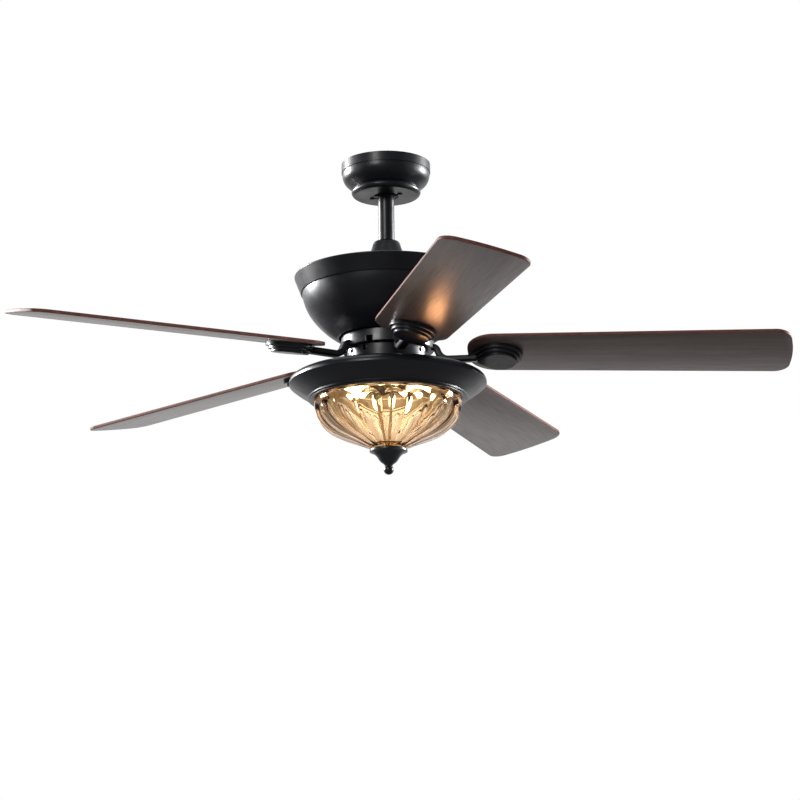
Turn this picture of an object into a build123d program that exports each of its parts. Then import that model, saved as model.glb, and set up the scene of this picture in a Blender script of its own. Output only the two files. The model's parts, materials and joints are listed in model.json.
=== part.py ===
from build123d import *
import os
from math import cos, radians, sin, sqrt, tan

# Five-blade ceiling fan with a glass light bowl. Millimetres, +Z up.
# The origin is on the ceiling, on the fan's axis, and everything hangs below it.

os.makedirs("parts", exist_ok=True)

# Clearances
FIT = 0.08               # radial clearance of a running fit
GAP = 0.3                # air between pieces that move past each other
SCREW_PLAY = 0.1         # radial play of a screw in its hole

# Canopy and ceiling bracket
CANOPY_R = 74.0
CANOPY_H = 55.0
CANOPY_BAND_H = 15.0     # upright band at the ceiling
CANOPY_FOOT_R = 51.0     # flat bottom face
CANOPY_BEAD_R = 57.5     # half round bead round the bottom face
CANOPY_WALL = 1.5
CANOPY_BEAD_H = 13.0
CANOPY_GROOVE = 1.1      # step in below the band
CANOPY_GROOVE_H = 1.6
CANOPY_HOLE_R = 21.0     # hole round the downrod
KEYHOLE_REACH = 31.0     # far end of the keyhole slots from the axis
KEYHOLE_L = 16.0
KEYHOLE_W = 5.6
KEYHOLE_ANGLE = -22.0
CANOPY_SCREW_AT = 25.5
BRACKET_L = 108.0
BRACKET_W = 38.0
BRACKET_T = 2.5
BRACKET_DROP = 40.0      # ceiling to the underside of the ball plate
BRACKET_LEG_X = 34.0     # inner face of each leg
BALL_PLATE_R = 47.0
SLOT_SPACING = 88.9      # outlet box screws, 3.5 inches apart
SLOT_L = 15.0
SLOT_W = 5.2
BALL_R = 27.0
BALL_SEAT_R = 20.5       # hole in the ball plate
BALL_TOP = 11.0          # ball centre to its flat top
BALL_FOOT = 19.5         # ball centre to its flat underside
BALL_SLOT_H = 8.0
RECEIVER_L, RECEIVER_W, RECEIVER_H = 62.0, 18.0, 22.0

# Downrod and coupling
ROD_R = 13.35            # 3/4 inch pipe
ROD_WALL = 2.6
ROD_SHOWN = 79.0         # canopy to coupling cover
ROD_PROUD = 5.0          # rod end above the ball pin
COVER_H = 61.5
COVER_TOP_R = 19.5
COVER_FOOT_R = 40.5
COVER_WALL = 1.5
COVER_SHOULDER = 7.0     # rounded shoulder below the cover's top
COVER_ROUND = 3.0
COVER_SPREAD = 3.6       # shoulder beyond the top radius
COUPLING_R = 18.5
COUPLING_DROP = 12.0     # cover top to the coupling's top
COUPLING_FLANGE_R = 43.0
COUPLING_FLANGE_T = 5.0
COUPLING_SCREW_AT = 30.0
ROD_IN_COUPLING = 32.0
PIN_R = 3.0
SET_SCREW_R = 2.5
SET_SCREW_L = 8.0
CLIP_R = 3.0             # coupling to the hitch clip's wire
CLIP_WIRE_R = 0.8
LEAD_R = 1.1
LEAD_IN_SHAFT = 2.3      # leads to the axis, in the shaft and in the downrod
LEAD_IN_ROD = 6.8

# Fasteners
SCREW_R = 2.0
SCREW_HEAD_R = 3.8
SCREW_HEAD_H = 2.2
HEAD_ROUND = 0.8
CANOPY_HEAD_R = 4.0
PIN_HEAD_RIM = 1.4       # pin head beyond the pin
PIN_HEAD_T = 1.8
ARM_SCREW_R = 2.5
ARM_SCREW_HEAD_R = 5.0
ARM_SCREW_L = 18.0
BLADE_SCREW_L = 14.0

# Motor housing
HOUSING_R = 153.5
BAND_H = 28.0
BAND_FOOT_R = 142.6
LIP_STEP = 2.2           # the bowl sits this far inside the band's lower edge
BOWL_H = 77.0
BOWL_MOUTH_R = 83.0
HOUSING_WALL = 1.5
LIP_H = 8.0              # overlap of the bowl inside the band
HOUSING_SCREW_AT = 132.0
VENT_COUNT = 14
VENT_L = 50.0
VENT_W = 6.0

# Motor
SHAFT_R = 7.5
SHAFT_BORE_R = 4.6
MOTOR_R = 88.0
MOTOR_H = 64.0
MOTOR_CLEAR = 14.0       # housing top to motor top
SHELL_WALL = 4.0
BEARING_R = 17.5
BEARING_H = 11.0
BEARING_RING = 3.2
BALL_COUNT = 8
CORE_R = 75.0
CORE_H = 22.0
AIR_GAP = 0.6
TOOTH_COUNT = 12
TOOTH_W = 12.0
TOOTH_ROOT_R = 49.0
POLE_T = 5.0
COIL_T = 4.0
MOTOR_LUGS = 4
LUG_AT = 92.0
LUG_R = 6.0
LUG_H = 6.0
SHELL_VENT_R = 7.0

# Blade carrier, arms and blades
CARRIER_HUB_R = 62.0
CARRIER_BORE_R = 30.0
CARRIER_WALL = 5.0
CARRIER_SCREW_AT = 38.0
RING_R = 76.0
RING_H = 12.5
FOOT_T = 9.0
FOOT_INNER_R = 44.0
FOOT_HALF_ANGLE = 33.0
FOOT_SCREW_AT = 63.0
FOOT_SCREW_ANGLE = 18.0
ARM_W = 16.0
ARM_T = 11.0
ARM_DROP = 21.0          # centre line at the foot to the low point
ARM_BEND_R = 80.0        # where the arm turns down
ARM_LOW_R = 88.5         # where it turns outwards
ARM_RISE = 0.5           # rise from there to the medallion
ARM_BENDS = (8.0, 18.0)  # radii of the arm's upper and lower bend
BLADE_COUNT = 5
SWEEP_R = 660.0          # a 52 inch sweep
BLADE_ROOT_R = 132.0
BLADE_T = 5.5
BLADE_ROOT_W = 118.4
BLADE_TIP_W = 141.0
BLADE_ROOT_CORNER = 46.0
BLADE_TIP_CORNER = 22.0
BLADE_TIP_BULGE = 8.0
BLADE_PITCH = 12.6
BLADE_DROOP = 1.62
BLADE_PLANE_DROP = 5.0   # arm foot underside to the blade plane, on the axis
MEDALLION_R = 38.0
MEDALLION_POINT_R = 8.5
MEDALLION_X = 184.0
MEDALLION_POINT_X = 147.0
TIER_HEIGHTS = (7.0, 5.0, 4.3)
TIER_STEP = 4.7          # each tier stands this far inside the one above
TIER_ROUND = 1.6

# Switch housing, light pan and lamps
SWITCH_GAP = 2.0         # arm feet to the switch housing
SWITCH_R = 66.5
SWITCH_H = 33.0
SWITCH_WALL = 1.4
SWITCH_HOLE_R = 4.3
SWITCH_HOLE_DROP = 5.0
SWITCH_HOLE_ANGLE = 1.0
SWITCH_SCREW_ANGLE = 92.0
PLATE_T = 2.2            # plate that closes the switch housing
PLATE_RIM_H = 10.0
NUT_H = 5.0
PAN_R = 162.0
PAN_RIM_DROP = 19.0      # pan top to its rim
PAN_H = 48.5
PAN_TOP_R = 76.0
PAN_WALL = 1.6
PAN_SHOULDER = 5.0       # rounded shoulder inside the rim
PAN_FOOT_R = 131.0       # lower edge of the sloping underside
PAN_STEP = 3.0           # each of two steps from there to the glass
PAN_STEP_H = 2.4
PAN_SCREW_AT = 40.0
SEAT_R = 117.0           # opening above the glass
GLASS_R = 121.5
GLASS_H = 80.0
GLASS_WALL = 4.5
GLASS_NECK_R = 30.5
CENTRE_ROD_R = 4.85
CENTRE_HOLE_R = 5.4
WASHER_R = 24.0
WASHER_T = 1.5
FINIAL_R = 31.0
FINIAL_H = 34.0
FINIAL_BALL_R = 8.2
FINIAL_LIP = 4.0
FINIAL_NECK_R = 6.0
THREAD_L = 12.0
CAPACITOR_L, CAPACITOR_W, CAPACITOR_H = 36.0, 18.0, 20.0
LAMP_COUNT = 3
LAMP_TILT = 75.0         # lamp axis from straight down
LAMP_BASE_R = 14.0
LAMP_ANGLE = 95.0
LAMP_DROP = 7.0          # lamp axis below the lamp bracket
SOCKET_R = 11.5
SOCKET_L = 27.0
SOCKET_BORE_R = 7.6
CAP_R = 6.6
CAP_L = 18.0
BULB_R = 16.0
BULB_L = 38.0
SPIDER_R = LAMP_BASE_R + 1.0
SPIDER_T = 1.6
SPIDER_DROP = 19.0       # pan top to the lamp bracket
TAB_W, TAB_H = 22.0, 20.0

# Heights of the main joints between pieces
z_canopy = -CANOPY_H
z_cover = z_canopy - ROD_SHOWN
z_housing = z_cover - COVER_H
z_band = z_housing - BAND_H
z_mouth = z_band - BOWL_H
z_ring = z_mouth
z_foot = z_ring - RING_H
z_arm = z_foot - FOOT_T
z_switch = z_arm - SWITCH_GAP
z_pan = z_switch - SWITCH_H
z_seat = z_pan - PAN_H
z_glass = z_seat - GAP
z_neck = z_glass - GLASS_H
z_washer = z_neck - WASHER_T
z_finial = z_washer - GAP
z_motor = z_housing - MOTOR_CLEAR
z_motor_foot = z_motor - MOTOR_H
z_motor_mid = (z_motor + z_motor_foot) / 2
z_ball = -BRACKET_DROP + BRACKET_T + sqrt(BALL_R**2 - BALL_SEAT_R**2) + GAP
z_ball_pin = z_ball + BALL_TOP - BALL_SLOT_H + PIN_R
z_rod_top = z_ball_pin + PIN_R + ROD_PROUD
z_coupling = z_cover - COUPLING_DROP
z_rod_end = z_coupling - ROD_IN_COUPLING
z_clevis = z_rod_end + ROD_IN_COUPLING / 2
z_flange = z_housing - HOUSING_WALL
z_lip = z_band + LIP_H
z_bearing_1 = z_motor - SHELL_WALL - BEARING_H / 2
z_bearing_2 = z_motor_foot + SHELL_WALL + BEARING_H / 2
z_plate = z_switch - 1.0
z_shaft_end = z_plate - PLATE_T - NUT_H - 3.0
z_spider = z_pan - SPIDER_DROP
z_rod_low = z_finial - THREAD_L + 1.0
turn = 360.0 / BLADE_COUNT


def save(piece, name):
    """Labels a finished piece and writes its STEP file."""
    piece.label = name
    export_step(piece, f"parts/{name}.step")


# ---------------------------------------------------------------- ceiling bracket
with BuildPart() as hanger_bracket:
    with BuildSketch() as top_plate:
        RectangleRounded(BRACKET_L, BRACKET_W, 8)
        Circle(11, mode=Mode.SUBTRACT)
        with GridLocations(SLOT_SPACING, 0, 2, 1):
            SlotOverall(SLOT_L, SLOT_W, mode=Mode.SUBTRACT)
    extrude(amount=-BRACKET_T)
    with BuildSketch(Plane.XY.offset(-BRACKET_T)) as legs:
        with GridLocations(2 * BRACKET_LEG_X + BRACKET_T, 0, 2, 1):
            Rectangle(BRACKET_T, BRACKET_W - 8)
    extrude(amount=-(BRACKET_DROP - BRACKET_T))
    with BuildSketch(Plane.XY.offset(-BRACKET_DROP)) as ball_plate:
        Circle(BALL_PLATE_R)
        Circle(BALL_SEAT_R, mode=Mode.SUBTRACT)
        with PolarLocations(CANOPY_SCREW_AT, 2, start_angle=KEYHOLE_ANGLE):
            Circle(SCREW_R + SCREW_PLAY, mode=Mode.SUBTRACT)
    extrude(amount=BRACKET_T)
save(hanger_bracket.part, "hanger_bracket")

# ---------------------------------------------------------------- canopy
groove_z = -CANOPY_BAND_H
bead_z = z_canopy + CANOPY_BEAD_H
neck_r = CANOPY_R - CANOPY_GROOVE
with BuildPart() as canopy:
    with BuildSketch(Plane.XZ):
        with BuildLine():
            Polyline((0, 0), (CANOPY_R, 0), (CANOPY_R, groove_z), (neck_r, groove_z),
                     (neck_r, groove_z - CANOPY_GROOVE_H))
            Spline((neck_r, groove_z - CANOPY_GROOVE_H), (neck_r - 5, (groove_z + bead_z) / 2 - 4),
                   (CANOPY_BEAD_R - 1, bead_z), tangents=[(0, -1), (-1, -0.8)])
            Line((CANOPY_BEAD_R - 1, bead_z), (CANOPY_BEAD_R - 3, bead_z - 1))
            ThreePointArc((CANOPY_BEAD_R - 3, bead_z - 1),
                          (CANOPY_BEAD_R, z_canopy + 0.45 * CANOPY_BEAD_H), (CANOPY_FOOT_R, z_canopy))
            Polyline((CANOPY_FOOT_R, z_canopy), (0, z_canopy), (0, 0))
        make_face()
    revolve(axis=Axis.Z)
    inner_r = neck_r - CANOPY_WALL
    bead_inner_r = CANOPY_BEAD_R - 3 - CANOPY_WALL
    with BuildSketch(Plane.XZ):
        with BuildLine():
            Polyline((0, 0), (inner_r, 0), (inner_r, groove_z - CANOPY_GROOVE_H))
            Spline((inner_r, groove_z - CANOPY_GROOVE_H),
                   (inner_r - 5.5, (groove_z + bead_z) / 2 - 3), (bead_inner_r, bead_z),
                   tangents=[(0, -1), (-1, -0.9)])
            Polyline((bead_inner_r, bead_z), (bead_inner_r, z_canopy + CANOPY_WALL),
                     (0, z_canopy + CANOPY_WALL), (0, 0))
        make_face()
    revolve(axis=Axis.Z, mode=Mode.SUBTRACT)
    with BuildSketch(Plane.XY.offset(z_canopy - 1)):
        Circle(CANOPY_HOLE_R)
        with PolarLocations(KEYHOLE_REACH - KEYHOLE_L / 2, 2, start_angle=KEYHOLE_ANGLE):
            SlotOverall(KEYHOLE_L, KEYHOLE_W)
    extrude(amount=CANOPY_WALL + 2, mode=Mode.SUBTRACT)
save(canopy.part, "canopy")

with BuildPart() as canopy_screws:
    with BuildSketch(Plane.XY.offset(z_canopy)):
        with PolarLocations(CANOPY_SCREW_AT, 2, start_angle=KEYHOLE_ANGLE):
            Circle(CANOPY_HEAD_R)
    extrude(amount=-SCREW_HEAD_H)
    chamfer(canopy_screws.edges().group_by(Axis.Z)[0], HEAD_ROUND)
    with BuildSketch(Plane.XY.offset(z_canopy)):
        with PolarLocations(CANOPY_SCREW_AT, 2, start_angle=KEYHOLE_ANGLE):
            Circle(SCREW_R)
    extrude(amount=CANOPY_H - BRACKET_DROP + BRACKET_T)
save(canopy_screws.part, "canopy_screws")

with BuildPart() as receiver:
    with BuildSketch(Plane.XY.offset(-BRACKET_DROP + BRACKET_T)):
        with Locations((0, BALL_R + RECEIVER_W / 2 + 3)):
            RectangleRounded(RECEIVER_L, RECEIVER_W, 2)
    extrude(amount=RECEIVER_H)
    fillet(receiver.edges().group_by(Axis.Z)[-1], 1.5)
save(receiver.part, "receiver")

# ---------------------------------------------------------------- ball, downrod and leads
with BuildPart(Plane.XY.offset(z_ball)) as hanger_ball:
    Sphere(BALL_R)
    split(bisect_by=Plane.XY.offset(z_ball + BALL_TOP), keep=Keep.BOTTOM)
    split(bisect_by=Plane.XY.offset(z_ball - BALL_FOOT), keep=Keep.TOP)
    Cylinder(ROD_R, 3 * BALL_R, mode=Mode.SUBTRACT)
    with Locations((0, 0, BALL_TOP)):
        Box(3 * BALL_R, 2 * PIN_R, 2 * BALL_SLOT_H, mode=Mode.SUBTRACT)
    with Locations((0, 0, -BALL_FOOT / 2)):
        Cylinder(SET_SCREW_R, 3 * BALL_R, rotation=(-90, 0, 0), mode=Mode.SUBTRACT,
                 align=(Align.CENTER, Align.CENTER, Align.MIN))
save(hanger_ball.part, "hanger_ball")

with BuildPart() as downrod:
    with BuildSketch(Plane.XY.offset(z_rod_end)):
        Circle(ROD_R)
        Circle(ROD_R - ROD_WALL, mode=Mode.SUBTRACT)
    extrude(amount=z_rod_top - z_rod_end)
    with BuildSketch(Plane.YZ):
        with Locations((0, z_ball_pin), (0, z_clevis)):
            Circle(PIN_R)
    extrude(amount=2 * ROD_R, both=True, mode=Mode.SUBTRACT)
save(downrod.part, "downrod")

with BuildPart() as ball_pin:
    with BuildSketch(Plane.YZ):
        with Locations((0, z_ball_pin)):
            Circle(PIN_R)
    extrude(amount=ROD_R + 6, both=True)
save(ball_pin.part, "ball_pin")

with BuildPart() as set_screws:
    with BuildSketch(Plane.XZ.offset(-ROD_R)):
        with Locations((0, z_ball - BALL_FOOT / 2)):
            Circle(SET_SCREW_R)
    extrude(amount=-SET_SCREW_L)
    for side in (-1, 1):
        with BuildSketch(Plane.XZ.offset(side * ROD_R)):
            with Locations((0, z_clevis)):
                Circle(SET_SCREW_R)
        extrude(amount=side * SET_SCREW_L)
save(set_screws.part, "set_screws")

# Four leads lie together in the shaft's bore and spread round the two cross pins in the downrod
with BuildPart() as lead_wires:
    for side in (-1, 1):
        for lead_x in (-LEAD_R - 0.2, LEAD_R + 0.2):
            with BuildLine() as lead_path:
                FilletPolyline((lead_x, side * LEAD_IN_SHAFT, z_shaft_end - 5),
                               (lead_x, side * LEAD_IN_SHAFT, z_rod_end + 1),
                               (lead_x, side * LEAD_IN_ROD, z_rod_end + 11),
                               (lead_x, side * LEAD_IN_ROD, z_rod_top + 1.5), radius=8)
            with BuildSketch(Plane(origin=lead_path.line @ 0, z_dir=lead_path.line % 0)):
                Circle(LEAD_R)
            sweep()
save(lead_wires.part, "lead_wires")

# ---------------------------------------------------------------- coupling and its cover
with BuildPart() as coupling:
    with BuildSketch(Plane.XZ):
        Polygon((ROD_R, z_coupling), (COUPLING_R, z_coupling), (COUPLING_R, z_flange),
                (COUPLING_FLANGE_R, z_flange), (COUPLING_FLANGE_R, z_flange - COUPLING_FLANGE_T),
                (SHAFT_R, z_flange - COUPLING_FLANGE_T), (SHAFT_R, z_rod_end), (ROD_R, z_rod_end),
                align=None)
    revolve(axis=Axis.Z)
    with BuildSketch(Plane.YZ):
        with Locations((0, z_clevis)):
            Circle(PIN_R)
    extrude(amount=2 * COUPLING_R, both=True, mode=Mode.SUBTRACT)
    with BuildSketch(Plane.XZ):
        with Locations((0, z_clevis)):
            Circle(SET_SCREW_R)
    extrude(amount=2 * COUPLING_R, both=True, mode=Mode.SUBTRACT)
    with BuildSketch(Plane.XY.offset(z_flange)):
        with PolarLocations(COUPLING_SCREW_AT, 4):
            Circle(SCREW_R + SCREW_PLAY)
    extrude(amount=-2 * COUPLING_FLANGE_T, mode=Mode.SUBTRACT)
save(coupling.part, "coupling")

with BuildPart() as coupling_screws:
    with BuildSketch(Plane.XY.offset(z_housing)):
        with PolarLocations(COUPLING_SCREW_AT, 4):
            Circle(SCREW_HEAD_R)
    extrude(amount=SCREW_HEAD_H)
    fillet(coupling_screws.edges().group_by(Axis.Z)[-1], HEAD_ROUND)
    with BuildSketch(Plane.XY.offset(z_housing)):
        with PolarLocations(COUPLING_SCREW_AT, 4):
            Circle(SCREW_R)
    extrude(amount=-HOUSING_WALL - COUPLING_FLANGE_T)
save(coupling_screws.part, "coupling_screws")

with BuildPart() as clevis_pin:
    with BuildSketch(Plane.YZ.offset(-COUPLING_R)):
        with Locations((0, z_clevis)):
            Circle(PIN_R)
    extrude(amount=2 * COUPLING_R + CLIP_R + 2.4)
    with BuildSketch(Plane.YZ.offset(-COUPLING_R)):
        with Locations((0, z_clevis)):
            Circle(PIN_R + PIN_HEAD_RIM)
    extrude(amount=-PIN_HEAD_T)
    with BuildSketch(Plane.XY.offset(z_clevis)):
        with Locations((COUPLING_R + CLIP_R, 0)):
            Circle(CLIP_WIRE_R + SCREW_PLAY)
    extrude(amount=2 * PIN_R, both=True, mode=Mode.SUBTRACT)
save(clevis_pin.part, "clevis_pin")

# The clip is a ring of wire: one side runs through the pin, the other lies over its end
with BuildPart() as hitch_clip:
    with BuildLine() as clip_wire:
        clip_x = COUPLING_R + CLIP_R
        clip_h = PIN_R + 2.2
        FilletPolyline((clip_x, 0, z_clevis - clip_h), (clip_x, 0, z_clevis + clip_h),
                       (clip_x, PIN_R + 2.5, z_clevis + clip_h), (clip_x, PIN_R + 2.5, z_clevis - clip_h),
                       radius=1.8)
    with BuildSketch(Plane(origin=clip_wire.line @ 0, z_dir=clip_wire.line % 0)):
        Circle(CLIP_WIRE_R)
    sweep()
save(hitch_clip.part, "hitch_clip")

with BuildPart() as coupling_cover:
    with BuildSketch(Plane.XZ):
        with BuildLine():
            shoulder_z = z_cover - COVER_SHOULDER
            Polyline((0, z_housing), (0, z_cover), (COVER_TOP_R - COVER_ROUND, z_cover))
            ThreePointArc((COVER_TOP_R - COVER_ROUND, z_cover),
                          (COVER_TOP_R + 0.45 * COVER_SPREAD, z_cover - 0.34 * COVER_SHOULDER),
                          (COVER_TOP_R + COVER_SPREAD, shoulder_z))
            Polyline((COVER_TOP_R + COVER_SPREAD, shoulder_z), (COVER_FOOT_R, z_housing), (0, z_housing))
        make_face()
    revolve(axis=Axis.Z)
    offset(amount=-COVER_WALL, openings=coupling_cover.faces().sort_by(Axis.Z)[0],
           kind=Kind.INTERSECTION)
    with BuildSketch(Plane.XY.offset(z_cover + 1)):
        Circle(ROD_R + GAP)
    extrude(amount=-COVER_WALL - 2, mode=Mode.SUBTRACT)
save(coupling_cover.part, "coupling_cover")

# ---------------------------------------------------------------- motor housing
with BuildPart() as housing_band:
    with BuildSketch(Plane.XZ):
        Polygon((COUPLING_R + SCREW_PLAY, z_housing), (HOUSING_R, z_housing), (BAND_FOOT_R, z_band),
                (BAND_FOOT_R - HOUSING_WALL, z_band), (HOUSING_R - HOUSING_WALL, z_housing - HOUSING_WALL),
                (COUPLING_R + SCREW_PLAY, z_housing - HOUSING_WALL), align=None)
    revolve(axis=Axis.Z)
    rim = housing_band.edges().filter_by(GeomType.CIRCLE).sort_by(SortBy.RADIUS)[-1]
    fillet(rim, HOUSING_WALL)
    with BuildSketch(Plane.XY.offset(z_housing - HOUSING_WALL)):
        with PolarLocations(HOUSING_SCREW_AT, 4, start_angle=45):
            Circle(SCREW_R + 2)
    extrude(amount=z_lip - z_housing + HOUSING_WALL)
    with BuildSketch(Plane.XY.offset(z_housing)):
        with PolarLocations((COVER_FOOT_R + HOUSING_SCREW_AT) / 2 + 4, VENT_COUNT):
            SlotOverall(VENT_L, VENT_W)
        with PolarLocations(HOUSING_SCREW_AT, 4, start_angle=45):
            Circle(SCREW_R + SCREW_PLAY)
        with PolarLocations(COUPLING_SCREW_AT, 4):
            Circle(SCREW_R + SCREW_PLAY)
    extrude(amount=-BAND_H, mode=Mode.SUBTRACT)
save(housing_band.part, "housing_band")

bowl_r = BAND_FOOT_R - LIP_STEP
curl = bowl_r - BOWL_MOUTH_R
with BuildPart() as housing_bowl:
    with BuildSketch(Plane.XZ):
        with BuildLine():
            Polyline((BOWL_MOUTH_R, z_mouth), (0, z_mouth), (0, z_lip), (bowl_r, z_lip), (bowl_r, z_band))
            Spline((bowl_r, z_band), (bowl_r - 0.2 * curl, z_band - 0.43 * BOWL_H),
                   (bowl_r - 0.55 * curl, z_band - 0.75 * BOWL_H), (BOWL_MOUTH_R, z_mouth),
                   tangents=[(-0.15, -1), (-1, -0.55)])
        make_face()
    revolve(axis=Axis.Z)
    caps = housing_bowl.faces().sort_by(Axis.Z)
    offset(amount=-HOUSING_WALL, openings=[caps[0], caps[-1]], kind=Kind.INTERSECTION)
    with BuildSketch(Plane.XY.offset(z_lip)):
        Circle(bowl_r)
        Circle(HOUSING_SCREW_AT - 6, mode=Mode.SUBTRACT)
        with PolarLocations(HOUSING_SCREW_AT, 4, start_angle=45):
            Circle(SCREW_R + SCREW_PLAY, mode=Mode.SUBTRACT)
    extrude(amount=-HOUSING_WALL)
save(housing_bowl.part, "housing_bowl")

with BuildPart() as housing_screws:
    with BuildSketch(Plane.XY.offset(z_housing)):
        with PolarLocations(HOUSING_SCREW_AT, 4, start_angle=45):
            Circle(SCREW_HEAD_R)
    extrude(amount=SCREW_HEAD_H)
    fillet(housing_screws.edges().group_by(Axis.Z)[-1], HEAD_ROUND)
    with BuildSketch(Plane.XY.offset(z_housing)):
        with PolarLocations(HOUSING_SCREW_AT, 4, start_angle=45):
            Circle(SCREW_R)
    extrude(amount=z_lip - HOUSING_WALL - 4 - z_housing)
save(housing_screws.part, "housing_screws")

# ---------------------------------------------------------------- motor, still parts
with BuildPart() as motor_shaft:
    with BuildSketch(Plane.XY.offset(z_shaft_end)):
        Circle(SHAFT_R)
        Circle(SHAFT_BORE_R, mode=Mode.SUBTRACT)
    extrude(amount=z_rod_end - z_shaft_end)
save(motor_shaft.part, "motor_shaft")

with BuildPart() as stator_core:
    with BuildSketch(Plane.XY.offset(z_motor_mid - CORE_H / 2)):
        Circle(TOOTH_ROOT_R)
        with PolarLocations((TOOTH_ROOT_R + CORE_R) / 2 - 2, TOOTH_COUNT):
            Rectangle(CORE_R - TOOTH_ROOT_R, TOOTH_W)
        Circle(SHAFT_R, mode=Mode.SUBTRACT)
    extrude(amount=CORE_H)
    with BuildSketch(Plane.XY.offset(z_motor_mid - CORE_H / 2)):
        Circle(CORE_R)
        Circle(CORE_R - POLE_T, mode=Mode.SUBTRACT)
        with PolarLocations(CORE_R, TOOTH_COUNT, start_angle=180 / TOOTH_COUNT):
            Rectangle(4 * POLE_T, 3, mode=Mode.SUBTRACT)
    extrude(amount=CORE_H)
save(stator_core.part, "stator_core")

coil_l = CORE_R - POLE_T - TOOTH_ROOT_R - 4
with BuildPart(Plane.XY.offset(z_motor_mid)) as stator_coils:
    with PolarLocations(TOOTH_ROOT_R + 2 + coil_l / 2, TOOTH_COUNT):
        Box(coil_l, TOOTH_W + 2 * COIL_T, CORE_H + 2 * COIL_T)
        Box(2 * coil_l, TOOTH_W, CORE_H, mode=Mode.SUBTRACT)
save(stator_coils.part, "stator_coils")

bearing_mid_r = (SHAFT_R + BEARING_R) / 2
inner_race_r = SHAFT_R + BEARING_RING / 2
outer_race_r = BEARING_R - BEARING_RING / 2
bearing_ball_r = (BEARING_R - SHAFT_R) / 2 - BEARING_RING + 0.5
with BuildPart() as bearing_inner_races:
    with BuildSketch(Plane.XZ):
        with Locations((inner_race_r, z_bearing_1), (inner_race_r, z_bearing_2)):
            Rectangle(BEARING_RING, BEARING_H)
        with Locations((bearing_mid_r, z_bearing_1), (bearing_mid_r, z_bearing_2)):
            Circle(bearing_ball_r, mode=Mode.SUBTRACT)
    revolve(axis=Axis.Z)
save(bearing_inner_races.part, "bearing_inner_races")

with BuildPart() as bearing_outer_races:
    with BuildSketch(Plane.XZ):
        with Locations((outer_race_r, z_bearing_1), (outer_race_r, z_bearing_2)):
            Rectangle(BEARING_RING, BEARING_H)
        with Locations((bearing_mid_r, z_bearing_1), (bearing_mid_r, z_bearing_2)):
            Circle(bearing_ball_r + FIT, mode=Mode.SUBTRACT)
    revolve(axis=Axis.Z)
save(bearing_outer_races.part, "bearing_outer_races")

with BuildPart() as bearing_balls:
    with Locations((0, 0, z_bearing_1), (0, 0, z_bearing_2)):
        with PolarLocations(bearing_mid_r, BALL_COUNT):
            Sphere(bearing_ball_r - FIT / 2)
save(bearing_balls.part, "bearing_balls")

# ---------------------------------------------------------------- motor, turning parts
for half, face, bearing, name in ((-1, z_motor, z_bearing_1, "rotor_upper_shell"),
                                  (1, z_motor_foot, z_bearing_2, "rotor_lower_shell")):
    inside = face + half * SHELL_WALL
    boss_end = bearing + half * BEARING_H / 2
    with BuildPart() as shell:
        with BuildSketch(Plane.XZ):
            Polygon((SHAFT_R + 2, face), (MOTOR_R - 5, face), (MOTOR_R, face + half * 5),
                    (MOTOR_R, z_motor_mid), (MOTOR_R - SHELL_WALL, z_motor_mid),
                    (MOTOR_R - SHELL_WALL, inside), (BEARING_R + SHELL_WALL, inside),
                    (BEARING_R + SHELL_WALL, boss_end), (BEARING_R, boss_end), (BEARING_R, inside),
                    (SHAFT_R + 2, inside), align=None)
        revolve(axis=Axis.Z)
        with BuildSketch(Plane.XY.offset(z_motor_mid)):
            with PolarLocations(LUG_AT, MOTOR_LUGS):
                Circle(LUG_R)
            Circle(MOTOR_R - 1, mode=Mode.SUBTRACT)
        extrude(amount=-half * LUG_H)
        with BuildSketch(Plane.XY.offset(z_motor_mid)):
            with PolarLocations(LUG_AT, MOTOR_LUGS):
                Circle(SCREW_R + SCREW_PLAY)
            with PolarLocations((BEARING_R + CORE_R) / 2 + 14, 6):
                Circle(SHELL_VENT_R)
            if half > 0:
                with PolarLocations(CARRIER_SCREW_AT, BLADE_COUNT):
                    Circle(SCREW_R + SCREW_PLAY)
        extrude(amount=-half * MOTOR_H, mode=Mode.SUBTRACT)
    save(shell.part, name)

with BuildPart() as rotor_ring:
    with BuildSketch(Plane.XY.offset(z_motor_mid - CORE_H / 2 - 1)):
        Circle(MOTOR_R - SHELL_WALL)
        Circle(CORE_R + AIR_GAP, mode=Mode.SUBTRACT)
    extrude(amount=CORE_H + 2)
save(rotor_ring.part, "rotor_ring")

carrier_inner_r = CARRIER_HUB_R - CARRIER_WALL
ring_inner_r = FOOT_INNER_R - 4
with BuildPart() as blade_carrier:
    with BuildSketch(Plane.XZ):
        Polygon((CARRIER_BORE_R, z_motor_foot), (CARRIER_HUB_R, z_motor_foot), (CARRIER_HUB_R, z_ring + 3),
                (RING_R, z_ring), (RING_R, z_foot), (ring_inner_r, z_foot),
                (ring_inner_r, z_foot + CARRIER_WALL), (carrier_inner_r, z_foot + CARRIER_WALL),
                (carrier_inner_r, z_motor_foot - CARRIER_WALL),
                (CARRIER_BORE_R, z_motor_foot - CARRIER_WALL), align=None)
    revolve(axis=Axis.Z)
    with BuildSketch(Plane.XY.offset(z_motor_foot)):
        with PolarLocations(CARRIER_SCREW_AT, BLADE_COUNT):
            Circle(SCREW_R + SCREW_PLAY)
    extrude(amount=-CARRIER_WALL, mode=Mode.SUBTRACT)
    with BuildSketch(Plane.XY.offset(z_foot)):
        for side in (-1, 1):
            with PolarLocations(FOOT_SCREW_AT, BLADE_COUNT, start_angle=side * FOOT_SCREW_ANGLE):
                Circle(ARM_SCREW_R + SCREW_PLAY)
    extrude(amount=ARM_SCREW_L - FOOT_T + 1, mode=Mode.SUBTRACT)
save(blade_carrier.part, "blade_carrier")

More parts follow.
